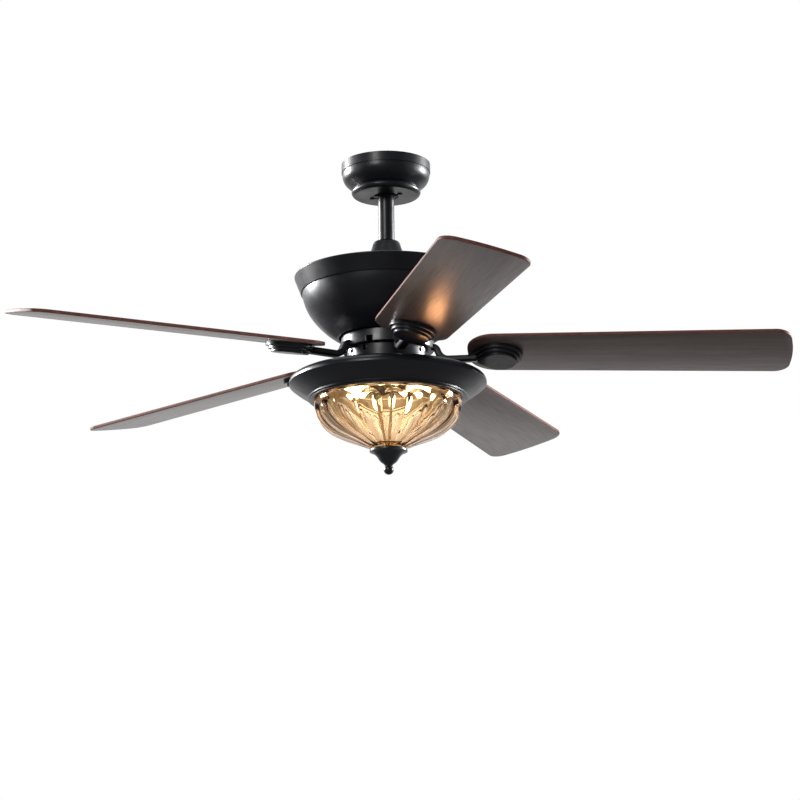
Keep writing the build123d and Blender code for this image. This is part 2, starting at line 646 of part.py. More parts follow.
with BuildPart() as motor_screws:
    with BuildSketch(Plane.XY.offset(z_motor_mid + LUG_H)):
        with PolarLocations(LUG_AT, MOTOR_LUGS):
            Circle(SCREW_HEAD_R)
    extrude(amount=SCREW_HEAD_H)
    with BuildSketch(Plane.XY.offset(z_motor_mid + LUG_H)):
        with PolarLocations(LUG_AT, MOTOR_LUGS):
            Circle(SCREW_R)
    extrude(amount=-2 * LUG_H)
    with BuildSketch(Plane.XY.offset(z_motor_foot - CARRIER_WALL)):
        with PolarLocations(CARRIER_SCREW_AT, BLADE_COUNT):
            Circle(SCREW_HEAD_R)
    extrude(amount=-SCREW_HEAD_H)
    with BuildSketch(Plane.XY.offset(z_motor_foot - CARRIER_WALL)):
        with PolarLocations(CARRIER_SCREW_AT, BLADE_COUNT):
            Circle(SCREW_R)
    extrude(amount=CARRIER_WALL + SHELL_WALL)
save(motor_screws.part, "motor_screws")

# ---------------------------------------------------------------- blade arms and blades
# The blade plane leans down outwards by the droop and is turned about the blade's length by the pitch
droop, pitch = radians(BLADE_DROOP), radians(BLADE_PITCH)
blade_plane = Plane(origin=(0, 0, z_arm - BLADE_PLANE_DROP), x_dir=(cos(droop), 0, -sin(droop)),
                    z_dir=(sin(droop) * cos(pitch), sin(pitch), cos(droop) * cos(pitch)))
blade_screw_points = [(MEDALLION_X - 17, 19), (MEDALLION_X - 17, -19), (MEDALLION_X + 20, 0)]

with BuildPart() as medallion:
    for tier, tier_h in enumerate(TIER_HEIGHTS):
        inset = tier * TIER_STEP
        with BuildSketch(blade_plane.offset(-sum(TIER_HEIGHTS[:tier]))):
            with Locations((MEDALLION_X, 0)):
                Circle(MEDALLION_R - inset)
            with Locations((MEDALLION_POINT_X + inset, 0)):
                Circle(MEDALLION_POINT_R)
            make_hull()
        extrude(amount=-tier_h)
        low_face = blade_plane.offset(-sum(TIER_HEIGHTS[:tier + 1]))
        rim = [edge for edge in medallion.edges(Select.LAST)
               if all(abs(low_face.to_local_coords(v.center()).Z) < 0.01 for v in edge.vertices())]
        fillet(rim, TIER_ROUND)

with BuildPart() as blade_arm:
    with BuildSketch(Plane.XY.offset(z_arm)):
        Circle(RING_R)
        Circle(FOOT_INNER_R, mode=Mode.SUBTRACT)
        reach = 2 * RING_R
        Polygon((0, 0), (reach, -reach * tan(radians(FOOT_HALF_ANGLE))),
                (reach, reach * tan(radians(FOOT_HALF_ANGLE))), align=None, mode=Mode.INTERSECT)
    extrude(amount=FOOT_T)
    fillet(blade_arm.edges().filter_by(Axis.Z), 3)
    with BuildLine(Plane.XZ) as arm_path:
        z_bar = z_foot - ARM_T / 2
        FilletPolyline((RING_R - 4, z_bar), (ARM_BEND_R, z_bar), (ARM_LOW_R, z_bar - ARM_DROP),
                       (MEDALLION_POINT_X + 6, z_bar - ARM_DROP + ARM_RISE), radius=ARM_BENDS)
    with BuildSketch(Plane(origin=arm_path.line @ 0, x_dir=(0, 0, 1), z_dir=(1, 0, 0))):
        RectangleRounded(ARM_T, ARM_W, ARM_T * 0.35)
    sweep()
    add(medallion.part)
    for side in (-1, 1):
        with Locations(Plane.XY.offset(z_arm)):
            with PolarLocations(FOOT_SCREW_AT, 1, start_angle=side * FOOT_SCREW_ANGLE):
                Cone(ARM_SCREW_HEAD_R, ARM_SCREW_R, ARM_SCREW_HEAD_R - ARM_SCREW_R, mode=Mode.SUBTRACT,
                     align=(Align.CENTER, Align.CENTER, Align.MIN))
                Cylinder(ARM_SCREW_R + SCREW_PLAY, 3 * FOOT_T, mode=Mode.SUBTRACT)
    with BuildSketch(blade_plane):
        with Locations(*blade_screw_points):
            Circle(SCREW_R + SCREW_PLAY)
    extrude(amount=-BLADE_SCREW_L + BLADE_T - 1, mode=Mode.SUBTRACT)

with BuildPart() as blade:
    with BuildSketch(blade_plane):
        with BuildLine():
            tip_x = SWEEP_R - BLADE_TIP_BULGE
            Polyline((tip_x, -BLADE_TIP_W / 2), (BLADE_ROOT_R, -BLADE_ROOT_W / 2),
                     (BLADE_ROOT_R, BLADE_ROOT_W / 2), (tip_x, BLADE_TIP_W / 2))
            ThreePointArc((tip_x, BLADE_TIP_W / 2), (SWEEP_R, 0), (tip_x, -BLADE_TIP_W / 2))
        make_face()
        fillet(vertices().sort_by(Axis.X)[:2], BLADE_ROOT_CORNER)
        fillet(vertices().sort_by(Axis.X)[-2:], BLADE_TIP_CORNER)
    extrude(amount=BLADE_T)
    with BuildSketch(blade_plane):
        with Locations(*blade_screw_points):
            Circle(SCREW_R + SCREW_PLAY)
    extrude(amount=2 * BLADE_T, mode=Mode.SUBTRACT)

for index in range(BLADE_COUNT):
    save(Rot(0, 0, turn * index) * blade_arm.part, f"blade_arm_{index + 1}")
    save(Rot(0, 0, turn * index) * blade.part, f"blade_{index + 1}")

with BuildPart() as arm_screws:
    for side in (-1, 1):
        with Locations(Plane.XY.offset(z_arm)):
            with PolarLocations(FOOT_SCREW_AT, BLADE_COUNT, start_angle=side * FOOT_SCREW_ANGLE):
                Cone(ARM_SCREW_HEAD_R - SCREW_PLAY, ARM_SCREW_R - SCREW_PLAY,
                     ARM_SCREW_HEAD_R - ARM_SCREW_R, align=(Align.CENTER, Align.CENTER, Align.MIN))
                Cylinder(ARM_SCREW_R - SCREW_PLAY, ARM_SCREW_L,
                         align=(Align.CENTER, Align.CENTER, Align.MIN))
save(arm_screws.part, "arm_screws")

with BuildPart() as blade_screw_set:
    with BuildSketch(blade_plane.offset(BLADE_T)):
        with Locations(*blade_screw_points):
            Circle(SCREW_HEAD_R + 1)
    extrude(amount=SCREW_HEAD_H)
    fillet(blade_screw_set.edges().group_by(Axis.Z)[-1], 0.5)
    with BuildSketch(blade_plane.offset(BLADE_T)):
        with Locations(*blade_screw_points):
            Circle(SCREW_R)
    extrude(amount=-BLADE_SCREW_L)
blade_screws = Part() + [Rot(0, 0, turn * index) * blade_screw_set.part for index in range(BLADE_COUNT)]
save(blade_screws, "blade_screws")

# ---------------------------------------------------------------- switch housing
with BuildPart() as switch_plate:
    plate_r = SWITCH_R - SWITCH_WALL
    with BuildSketch(Plane.XZ):
        Polygon((SHAFT_R, z_plate), (plate_r, z_plate), (plate_r, z_plate - PLATE_RIM_H),
                (plate_r - PLATE_T, z_plate - PLATE_RIM_H), (plate_r - PLATE_T, z_plate - PLATE_T),
                (SHAFT_R, z_plate - PLATE_T), align=None)
    revolve(axis=Axis.Z)
    with Locations((0, 0, z_switch - SWITCH_HOLE_DROP)):
        with PolarLocations(SWITCH_R, 3, start_angle=SWITCH_SCREW_ANGLE):
            Cylinder(SCREW_R, 20, rotation=(0, 90, 0), mode=Mode.SUBTRACT)
        with PolarLocations(SWITCH_R, 3, start_angle=SWITCH_HOLE_ANGLE):
            Cylinder(SWITCH_HOLE_R, 20, rotation=(0, 90, 0), mode=Mode.SUBTRACT)
save(switch_plate.part, "switch_plate")

with BuildPart() as shaft_nut:
    with BuildSketch(Plane.XY.offset(z_plate - PLATE_T)):
        RegularPolygon(SHAFT_R + 4.5, 6)
        Circle(SHAFT_R, mode=Mode.SUBTRACT)
    extrude(amount=-NUT_H)
save(shaft_nut.part, "shaft_nut")

with BuildPart() as switch_housing:
    with BuildSketch(Plane.XZ):
        Polygon((CENTRE_HOLE_R, z_pan), (SWITCH_R, z_pan), (SWITCH_R, z_switch),
                (SWITCH_R - SWITCH_WALL, z_switch), (SWITCH_R - SWITCH_WALL, z_pan + SWITCH_WALL),
                (CENTRE_HOLE_R, z_pan + SWITCH_WALL), align=None)
    revolve(axis=Axis.Z)
    with BuildSketch(Plane.XY.offset(z_pan)):
        with PolarLocations(PAN_SCREW_AT, 3, start_angle=SWITCH_SCREW_ANGLE):
            Circle(SCREW_R + SCREW_PLAY)
    extrude(amount=2 * SWITCH_WALL, mode=Mode.SUBTRACT)
    with Locations((0, 0, z_switch - SWITCH_HOLE_DROP)):
        with PolarLocations(SWITCH_R, 3, start_angle=SWITCH_SCREW_ANGLE):
            Cylinder(SCREW_R + SCREW_PLAY, 20, rotation=(0, 90, 0), mode=Mode.SUBTRACT)
        with PolarLocations(SWITCH_R, 3, start_angle=SWITCH_HOLE_ANGLE):
            Cylinder(SWITCH_HOLE_R, 20, rotation=(0, 90, 0), mode=Mode.SUBTRACT)
save(switch_housing.part, "switch_housing")

# Three screws hold the switch housing to its plate, three more hold the light pan to the switch housing
with BuildPart() as cover_screws:
    with Locations((0, 0, z_switch - SWITCH_HOLE_DROP)):
        with PolarLocations(SWITCH_R, 3, start_angle=SWITCH_SCREW_ANGLE):
            Cylinder(SCREW_HEAD_R, SCREW_HEAD_H, rotation=(0, 90, 0),
                     align=(Align.CENTER, Align.CENTER, Align.MIN))
            Cylinder(SCREW_R, 2 * (PLATE_T + SWITCH_WALL), rotation=(0, 90, 0),
                     align=(Align.CENTER, Align.CENTER, Align.CENTER))
    with Locations((0, 0, z_pan - PAN_WALL)):
        with PolarLocations(PAN_SCREW_AT, 3, start_angle=SWITCH_SCREW_ANGLE):
            Cylinder(SCREW_HEAD_R, SCREW_HEAD_H, align=(Align.CENTER, Align.CENTER, Align.MAX))
            Cylinder(SCREW_R, PAN_WALL + SWITCH_WALL + 3, align=(Align.CENTER, Align.CENTER, Align.MIN))
save(cover_screws.part, "cover_screws")

with BuildPart() as capacitor:
    with BuildSketch(Plane.XY.offset(z_pan + SWITCH_WALL)):
        with Locations((-SWITCH_R * 0.55, 0)):
            RectangleRounded(CAPACITOR_W, CAPACITOR_L, 2)
    extrude(amount=CAPACITOR_H)
    fillet(capacitor.edges().group_by(Axis.Z)[-1], 1)
save(capacitor.part, "capacitor")

# ---------------------------------------------------------------- light pan
z_rim = z_pan - PAN_RIM_DROP
z_shoulder = z_rim + 0.4 * PAN_RIM_DROP
z_slope = z_rim - 3.5
z_cove = z_seat + 2 * PAN_STEP_H
shoulder_r = PAN_R - PAN_SHOULDER
step_r = PAN_FOOT_R - PAN_STEP
slope_mid = ((PAN_R + PAN_FOOT_R) / 2 + 1.5, (z_slope + z_cove) / 2 - 1.5)
with BuildPart() as light_pan:
    with BuildSketch(Plane.XZ):
        with BuildLine():
            Polyline((CENTRE_HOLE_R, z_pan - PAN_WALL), (CENTRE_HOLE_R, z_pan), (PAN_TOP_R, z_pan))
            ThreePointArc((PAN_TOP_R, z_pan), ((PAN_TOP_R + shoulder_r) / 2, z_pan - 0.15 * PAN_RIM_DROP),
                          (shoulder_r, z_shoulder))
            ThreePointArc((shoulder_r, z_shoulder), (PAN_R - 1.2, z_rim + 0.2 * PAN_RIM_DROP),
                          (PAN_R, z_rim))
            Polyline((PAN_R, z_rim), (PAN_R, z_rim - 2.5), (PAN_R - 1, z_slope))
            ThreePointArc((PAN_R - 1, z_slope), slope_mid, (PAN_FOOT_R, z_cove))
            Polyline((PAN_FOOT_R, z_cove), (PAN_FOOT_R, z_cove - PAN_STEP_H),
                     (step_r, z_cove - PAN_STEP_H), (step_r, z_seat), (SEAT_R, z_seat),
                     (SEAT_R, z_seat + PAN_WALL), (step_r - PAN_WALL, z_seat + PAN_WALL),
                     (step_r - PAN_WALL, z_cove - PAN_STEP_H + PAN_WALL),
                     (PAN_FOOT_R - PAN_WALL, z_cove - PAN_STEP_H + PAN_WALL),
                     (PAN_FOOT_R - PAN_WALL, z_cove + PAN_WALL))
            ThreePointArc((PAN_FOOT_R - PAN_WALL, z_cove + PAN_WALL),
                          (slope_mid[0] - PAN_WALL, slope_mid[1] + PAN_WALL),
                          (PAN_R - 1 - PAN_WALL, z_slope + PAN_WALL))
            Line((PAN_R - 1 - PAN_WALL, z_slope + PAN_WALL), (PAN_R - PAN_WALL, z_rim))
            ThreePointArc((PAN_R - PAN_WALL, z_rim),
                          (PAN_R - 1.2 - PAN_WALL, z_rim + 0.2 * PAN_RIM_DROP - 0.5 * PAN_WALL),
                          (shoulder_r, z_shoulder - PAN_WALL))
            ThreePointArc((shoulder_r, z_shoulder - PAN_WALL),
                          ((PAN_TOP_R + shoulder_r) / 2, z_pan - 0.15 * PAN_RIM_DROP - PAN_WALL),
                          (PAN_TOP_R, z_pan - PAN_WALL))
            Line((PAN_TOP_R, z_pan - PAN_WALL), (CENTRE_HOLE_R, z_pan - PAN_WALL))
        make_face()
    revolve(axis=Axis.Z)
    with BuildSketch(Plane.XY.offset(z_pan)):
        with PolarLocations(PAN_SCREW_AT, 3, start_angle=SWITCH_SCREW_ANGLE):
            Circle(SCREW_R + SCREW_PLAY)
    extrude(amount=-2 * PAN_WALL, mode=Mode.SUBTRACT)
save(light_pan.part, "light_pan")

with BuildPart() as centre_rod:
    with BuildSketch(Plane.XY.offset(z_rod_low)):
        Circle(CENTRE_ROD_R)
        Circle(CENTRE_ROD_R - 1.6, mode=Mode.SUBTRACT)
    extrude(amount=z_pan + SWITCH_WALL + NUT_H + 3 - z_rod_low)
save(centre_rod.part, "centre_rod")

with BuildPart() as rod_nuts:
    for face, way in ((z_pan + SWITCH_WALL, 1), (z_pan - PAN_WALL, -1), (z_spider, 1),
                      (z_spider - SPIDER_T, -1)):
        with BuildSketch(Plane.XY.offset(face)):
            RegularPolygon(CENTRE_ROD_R + 3.6, 6)
            Circle(CENTRE_ROD_R, mode=Mode.SUBTRACT)
        extrude(amount=way * (NUT_H - 1))
save(rod_nuts.part, "rod_nuts")

# ---------------------------------------------------------------- lamps
tilt = radians(LAMP_TILT)
lamp_plane = Plane(origin=(LAMP_BASE_R, 0, z_spider - LAMP_DROP), x_dir=(0, 1, 0),
                   z_dir=(sin(tilt), 0, -cos(tilt)))
lamp_turns = [LAMP_ANGLE + index * 360 / LAMP_COUNT for index in range(LAMP_COUNT)]

with BuildPart() as spider_tab:
    with BuildSketch(lamp_plane):
        RectangleRounded(TAB_W, TAB_H, 3)
    extrude(amount=-SPIDER_T)
with BuildPart() as lamp_spider:
    with BuildSketch(Plane.XY.offset(z_spider)):
        Circle(SPIDER_R)
        Circle(CENTRE_HOLE_R, mode=Mode.SUBTRACT)
    extrude(amount=-SPIDER_T)
    for lamp_turn in lamp_turns:
        add(Rot(0, 0, lamp_turn) * spider_tab.part)
save(lamp_spider.part, "lamp_spider")

with BuildPart() as lamp_socket:
    with BuildSketch(lamp_plane):
        Circle(SOCKET_R)
    extrude(amount=SOCKET_L)
    fillet(lamp_socket.edges().filter_by(GeomType.CIRCLE)[0], 2)
    with BuildSketch(lamp_plane.offset(SOCKET_L - CAP_L)):
        Circle(SOCKET_BORE_R)
    extrude(amount=CAP_L, mode=Mode.SUBTRACT)

with BuildPart() as lamp_cap:
    with BuildSketch(lamp_plane.offset(SOCKET_L - CAP_L)):
        Circle(CAP_R)
    extrude(amount=CAP_L)

with BuildPart() as bulb:
    globe_at = BULB_L - BULB_R
    with BuildSketch(Plane.XZ):
        with BuildLine():
            Polyline((CAP_R, 0), (0, 0), (0, BULB_L))
            ThreePointArc((0, BULB_L), (BULB_R, globe_at), (BULB_R * 0.8, globe_at - BULB_R * 0.6))
            Spline((BULB_R * 0.8, globe_at - BULB_R * 0.6), (CAP_R, 0), tangents=[(-0.6, -0.8), (0, -1)])
        make_face()
    revolve(axis=Axis.Z)
lit_bulb = lamp_plane.offset(SOCKET_L).location * bulb.part

for index, lamp_turn in enumerate(lamp_turns):
    save(Rot(0, 0, lamp_turn) * lamp_socket.part, f"lamp_socket_{index + 1}")
    save(Rot(0, 0, lamp_turn) * lit_bulb, f"bulb_{index + 1}")
save(Part() + [Rot(0, 0, lamp_turn) * lamp_cap.part for lamp_turn in lamp_turns], "bulb_caps")

# ---------------------------------------------------------------- glass bowl and finial
with BuildPart() as glass_bowl:
    reach = GLASS_R - GLASS_NECK_R
    with BuildSketch(Plane.XZ):
        with BuildLine():
            Polyline((GLASS_NECK_R, z_neck), (0, z_neck), (0, z_glass), (GLASS_R, z_glass))
            Spline((GLASS_R, z_glass), (GLASS_NECK_R + 0.91 * reach, z_glass - 0.42 * GLASS_H),
                   (GLASS_NECK_R + 0.66 * reach, z_glass - 0.68 * GLASS_H),
                   (GLASS_NECK_R + 0.23 * reach, z_glass - 0.88 * GLASS_H), (GLASS_NECK_R, z_neck),
                   tangents=[(0, -1), (-0.35, -1)])
        make_face()
    revolve(axis=Axis.Z)
    offset(amount=-GLASS_WALL, openings=glass_bowl.faces().sort_by(Axis.Z)[-1], kind=Kind.INTERSECTION)
    with BuildSketch(Plane.XY.offset(z_neck)):
        Circle(CENTRE_HOLE_R)
    extrude(amount=2 * GLASS_WALL, mode=Mode.SUBTRACT)
save(glass_bowl.part, "glass_bowl")

with BuildPart() as bowl_washer:
    with BuildSketch(Plane.XY.offset(z_neck)):
        Circle(WASHER_R)
        Circle(CENTRE_HOLE_R, mode=Mode.SUBTRACT)
    extrude(amount=-WASHER_T)
save(bowl_washer.part, "bowl_washer")

with BuildPart() as finial:
    z_ball_end = z_finial - FINIAL_H
    z_waist = z_ball_end + sqrt(FINIAL_BALL_R**2 - FINIAL_NECK_R**2)
    with BuildSketch(Plane.XZ):
        with BuildLine():
            Polyline((0, z_waist), (0, z_finial), (FINIAL_R - 2, z_finial))
            ThreePointArc((FINIAL_R - 2, z_finial), (FINIAL_R - 0.6, z_finial - 0.6),
                          (FINIAL_R, z_finial - 2))
            Line((FINIAL_R, z_finial - 2), (FINIAL_R, z_finial - FINIAL_LIP))
            Spline((FINIAL_R, z_finial - FINIAL_LIP), (FINIAL_R * 0.62, z_finial - FINIAL_LIP - 8),
                   (FINIAL_R * 0.38, z_finial - FINIAL_LIP - 18), (FINIAL_NECK_R, z_waist),
                   tangents=[(-1, -0.3), (-0.15, -1)])
            Line((FINIAL_NECK_R, z_waist), (0, z_waist))
        make_face()
    revolve(axis=Axis.Z)
    with Locations((0, 0, z_ball_end)):
        Sphere(FINIAL_BALL_R)
    with Locations((0, 0, z_finial)):
        Cylinder(CENTRE_ROD_R + FIT, THREAD_L, align=(Align.CENTER, Align.CENTER, Align.MAX),
                 mode=Mode.SUBTRACT)
save(finial.part, "finial")
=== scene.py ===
# %% [markdown]
# A ceiling fan hangs from a small cup at the ceiling, and one short pipe carries all of
# it. The measured frame of the fan is already there: it holds every screw, shell and
# shaft at its real size, and it says which of them turn, tilt or slide. This lesson
# dresses that frame. A piece whose shape is right only gets a finish. The blades, the
# glass and the light pan live from eased edges, flutes and two-tone paint, so they are
# modelled again in the same place.

# %% Load the measured frame
import json
from math import cos, hypot, pi, radians, sin, sqrt

import bmesh
import bpy
from mathutils import Matrix, Vector


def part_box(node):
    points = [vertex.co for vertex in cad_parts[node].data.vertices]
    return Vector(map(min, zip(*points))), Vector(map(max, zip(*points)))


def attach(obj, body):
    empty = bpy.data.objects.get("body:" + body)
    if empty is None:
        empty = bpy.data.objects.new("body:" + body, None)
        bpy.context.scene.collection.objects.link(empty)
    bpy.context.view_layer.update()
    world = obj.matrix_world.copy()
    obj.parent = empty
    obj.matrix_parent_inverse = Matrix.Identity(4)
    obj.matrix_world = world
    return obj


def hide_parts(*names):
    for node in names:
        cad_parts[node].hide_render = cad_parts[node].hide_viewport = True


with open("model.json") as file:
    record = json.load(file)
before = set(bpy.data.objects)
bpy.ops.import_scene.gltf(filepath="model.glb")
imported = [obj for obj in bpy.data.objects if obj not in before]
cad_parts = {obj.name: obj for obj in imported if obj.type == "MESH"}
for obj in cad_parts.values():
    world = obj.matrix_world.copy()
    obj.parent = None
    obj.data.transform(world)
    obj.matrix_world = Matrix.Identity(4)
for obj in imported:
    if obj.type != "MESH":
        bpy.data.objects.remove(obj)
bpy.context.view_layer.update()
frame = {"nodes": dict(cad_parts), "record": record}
MM = 0.001

# %% [markdown]
# A fan is looked at from below, by someone standing in the room, so the undersides of
# the blades and the glass bowl are what is seen. The camera stands low, over four and a
# half metres away, and looks up at the switch housing. A long lens keeps the near blade
# from looking bigger than the far ones.

# %% Camera
HUB_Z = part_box("switch_housing")[1].z - 8 * MM   # the height that the camera turns about
CAMERA_FAR = 4.67
CAMERA_ROUND = radians(5.3)
CAMERA_BELOW = radians(15.0)
CAMERA_ASIDE = radians(0.240)
CAMERA_DOWN = radians(0.866)
CAMERA_ROLL = radians(-0.55)

camera_data = bpy.data.cameras.new("camera")
camera_data.lens = 128
camera_data.sensor_width = 36
camera_data.clip_end = 60
camera = bpy.data.objects.new("camera", camera_data)
bpy.context.collection.objects.link(camera)
back = Vector((sin(CAMERA_ROUND) * cos(CAMERA_BELOW),
               -cos(CAMERA_ROUND) * cos(CAMERA_BELOW), -sin(CAMERA_BELOW)))
camera.location = Vector((0, 0, HUB_Z)) + CAMERA_FAR * back
aim = (-back).to_track_quat("-Z", "Y").to_matrix()
aim = aim @ Matrix.Rotation(-CAMERA_ASIDE, 3, "Y")
aim = aim @ Matrix.Rotation(-CAMERA_DOWN, 3, "X")
camera.rotation_euler = (aim @ Matrix.Rotation(CAMERA_ROLL, 3, "Z")).to_euler()
bpy.context.scene.camera = camera
print("camera stands at", [round(place, 2) for place in camera.location])

# %% [markdown]
# The room is only a pale floor and pale air. The floor lights the fan from below but is
# kept out of its mirror images, as if the fan hung much higher over it. Black enamel is a
# mirror of whatever stands round it, so where the light is matters more than how much
# there is. Air that is bright behind the fan draws a pale rim round dark metal and a grey
# sheen on blades that are seen edge-on. Air that is dark on the near side keeps the black
# deep.

# %% Floor
FLOOR_Z = -2.45
FLOOR_SIDE = 30
bpy.ops.object.select_all(action="DESELECT")
bpy.ops.mesh.primitive_plane_add(size=FLOOR_SIDE, location=(0, 0, FLOOR_Z))
floor = bpy.context.object
floor.name = "floor"
floor_paint = bpy.data.materials.new("pale_floor")
floor_paint.use_nodes = True
floor_shader = floor_paint.node_tree.nodes["Principled BSDF"]
floor_shader.inputs["Base Color"].default_value = (0.82, 0.82, 0.82, 1)
floor_shader.inputs["Roughness"].default_value = 0.9
floor.data.materials.append(floor_paint)
floor.visible_glossy = False
print("floor lies", -FLOOR_Z, "m below the ceiling")

# %% [markdown]
# The air is the world background, so it lights the fan from every side. Its strength
# fades with the direction's Y: weak on the near side, strong behind the fan. Rays that
# come straight from the camera see plain white instead, whichever way they point.

# %% Pale air, darker on the near side
NEAR_AIR, FAR_AIR = 0.17, 0.95
FADE_FROM, FADE_TO = 0.60, 1.0
world = bpy.data.worlds.new("studio")
bpy.context.scene.world = world
world.use_nodes = True
air = world.node_tree
where = air.nodes.new("ShaderNodeTexCoord")
parts = air.nodes.new("ShaderNodeSeparateXYZ")
fade = air.nodes.new("ShaderNodeMapRange")
fade.interpolation_type = "SMOOTHSTEP"
fade.inputs["From Min"].default_value = FADE_FROM
fade.inputs["From Max"].default_value = FADE_TO
fade.inputs["To Min"].default_value = NEAR_AIR
fade.inputs["To Max"].default_value = FAR_AIR
seen_air = air.nodes.new("ShaderNodeBackground")
ray = air.nodes.new("ShaderNodeLightPath")
either = air.nodes.new("ShaderNodeMixShader")
air.links.new(where.outputs["Generated"], parts.inputs[0])
air.links.new(parts.outputs["Y"], fade.inputs["Value"])
air.links.new(fade.outputs[0], air.nodes["Background"].inputs["Strength"])
air.nodes["Background"].inputs["Color"].default_value = (1, 1, 1, 1)
seen_air.inputs["Color"].default_value = (1, 1, 1, 1)
air.links.new(ray.outputs["Is Camera Ray"], either.inputs[0])
air.links.new(air.nodes["Background"].outputs[0], either.inputs[1])
air.links.new(seen_air.outputs[0], either.inputs[2])
air.links.new(either.outputs[0], air.nodes["World Output"].inputs["Surface"])
bpy.context.scene.view_settings.view_transform = "Standard"
print("air", NEAR_AIR, "to", FAR_AIR)


# %% [markdown]
# Soft boxes do the modelling. Two stand level with the fan, left and right and a little
# behind it, so their reflections slide to the sides of every round black piece. One at
# the front, above eye level, draws the upright walls. One overhead keeps the floor pale.
# The last is tiny and warm: it puts the glow of the lit bowl on the blade that points to
# the viewer.

# %% Soft boxes
def softbox(name, place, size, watts):
    data = bpy.data.lights.new(name, "AREA")
    data.shape = "RECTANGLE"
    data.size, data.size_y = size
    data.energy = watts
    lamp = bpy.data.objects.new(name, data)
    bpy.context.collection.objects.link(lamp)
    lamp.location = place
    towards = Vector((0, 0, HUB_Z)) - Vector(place)
    lamp.rotation_euler = towards.to_track_quat("-Z", "Y").to_euler()
    return lamp


BEAM = radians(100)
WARM = (1.0, 0.46, 0.20)
softbox("box_left", (-2.8, 1.1, 0.42), (0.8, 0.8), 64)
softbox("box_right", (2.8, 1.3, 0.25), (0.7, 0.8), 55)
softbox("box_front", (-1.3, -3.3, 0.75), (1.0, 0.8), 11)
for side_box in ("box_left", "box_right", "box_front"):
    bpy.data.objects[side_box].data.spread = BEAM
softbox("box_over", (0, 0, 2.4), (3.0, 3.0), 60)
glow = softbox("box_warm", (0.078, -0.168, -0.377), (0.03, 0.03), 0.028)
glow.data.color = WARM
towards_blade = Vector((0.022, -0.115, 0.042))
glow.rotation_euler = towards_blade.to_track_quat("-Z", "Y").to_euler()
glow.visible_camera = False


# %% [markdown]
# Every finish is a small tree of nodes on one Principled shader. These helpers keep the
# trees short: `new_finish` starts one, `noise` adds a mottle of a real size in metres,
# `ramp` turns a grey mottle into colours or numbers, and `bump` presses it into the
# surface. They read Object coordinates, which are the fan's own metres, so a finish has
# the same scale on every piece. Only the veneer asks for the UV map instead.

# %% Helpers for finishes
def new_finish(name, colour, rough, metal=0.0):
    finish = bpy.data.materials.new(name)
    finish.use_nodes = True
    shader = finish.node_tree.nodes["Principled BSDF"]
    shader.inputs["Base Color"].default_value = (*colour, 1)
    shader.inputs["Roughness"].default_value = rough
    shader.inputs["Metallic"].default_value = metal
    return finish, finish.node_tree, shader


def noise(tree, size, detail=3.0, stretch=(1, 1, 1), coords="Object"):
    """Mottle whose blotches are about `size` metres across."""
    place = tree.nodes.new("ShaderNodeTexCoord")
    scale = tree.nodes.new("ShaderNodeMapping")
    scale.inputs["Scale"].default_value = stretch
    mottle = tree.nodes.new("ShaderNodeTexNoise")
    mottle.inputs["Scale"].default_value = 1.0 / size
    mottle.inputs["Detail"].default_value = detail
    tree.links.new(place.outputs[coords], scale.inputs["Vector"])
    tree.links.new(scale.outputs["Vector"], mottle.inputs["Vector"])
    return mottle.outputs["Fac"]


def ramp(tree, fac, stops):
    """Colours, or greys, at places from 0 to 1 along the mottle."""
    node = tree.nodes.new("ShaderNodeValToRGB")
    while len(node.color_ramp.elements) < len(stops):
        node.color_ramp.elements.new(0.5)
    for element, (place, colour) in zip(node.color_ramp.elements, stops):
        element.position = place
        element.color = (*colour, 1) if len(colour) == 3 else (colour[0],) * 3 + (1,)
    tree.links.new(fac, node.inputs["Fac"])
    return node.outputs["Color"]


def bump(tree, shader, height, depth, strength=1.0):
    """Presses `height` into the surface, `depth` metres deep."""
    node = tree.nodes.new("ShaderNodeBump")
    node.inputs["Distance"].default_value = depth
    node.inputs["Strength"].default_value = strength
    tree.links.new(height, node.inputs["Height"])
    tree.links.new(node.outputs["Normal"], shader.inputs["Normal"])
    return node


# %% [markdown]
# The cup, the housing and the light pan are pressed steel with baked black enamel. Two
# things tell enamel from plain black plastic: the film pulls into a very fine orange
# peel, and it is a little glossier in some patches than in others. A thin clear coat
# gives the sharp small glint on top of the broad soft one.

# %% Black enamel
def make_black_enamel():
    finish, tree, shader = new_finish("black_enamel", (0.006, 0.007, 0.011), 0.36)
    shader.inputs["Specular IOR Level"].default_value = 0.38
    shader.inputs["Coat Weight"].default_value = 0.12
    shader.inputs["Coat Roughness"].default_value = 0.22
    gloss = ramp(tree, noise(tree, 0.030), [(0.3, (0.31,)), (0.7, (0.44,))])
    tree.links.new(gloss, shader.inputs["Roughness"])
    tint = ramp(tree, noise(tree, 0.0012, 2), [(0.60, (0.006, 0.007, 0.011)),
                                              (0.80, (0.020, 0.020, 0.025))])
    tree.links.new(tint, shader.inputs["Base Color"])
    bump(tree, shader, noise(tree, 0.0016, 2), 0.00006, 0.6)
    return finish


# %% [markdown]
# The blade arms are castings. Sand leaves a coarser skin than a press does, so the same
# black paint looks lumpier and catches more glints. On the rounded steps of the
# medallions those glints join up into the thin bright lines that draw each step.

# %% Black casting
def make_black_cast():
    finish, tree, shader = new_finish("black_cast", (0.007, 0.008, 0.011), 0.33)
    shader.inputs["Coat Weight"].default_value = 0.15
    shader.inputs["Coat Roughness"].default_value = 0.12
    gloss = ramp(tree, noise(tree, 0.012), [(0.3, (0.29,)), (0.7, (0.42,))])
    tree.links.new(gloss, shader.inputs["Roughness"])
    bump(tree, shader, noise(tree, 0.0035, 4), 0.00008, 0.6)
    return finish


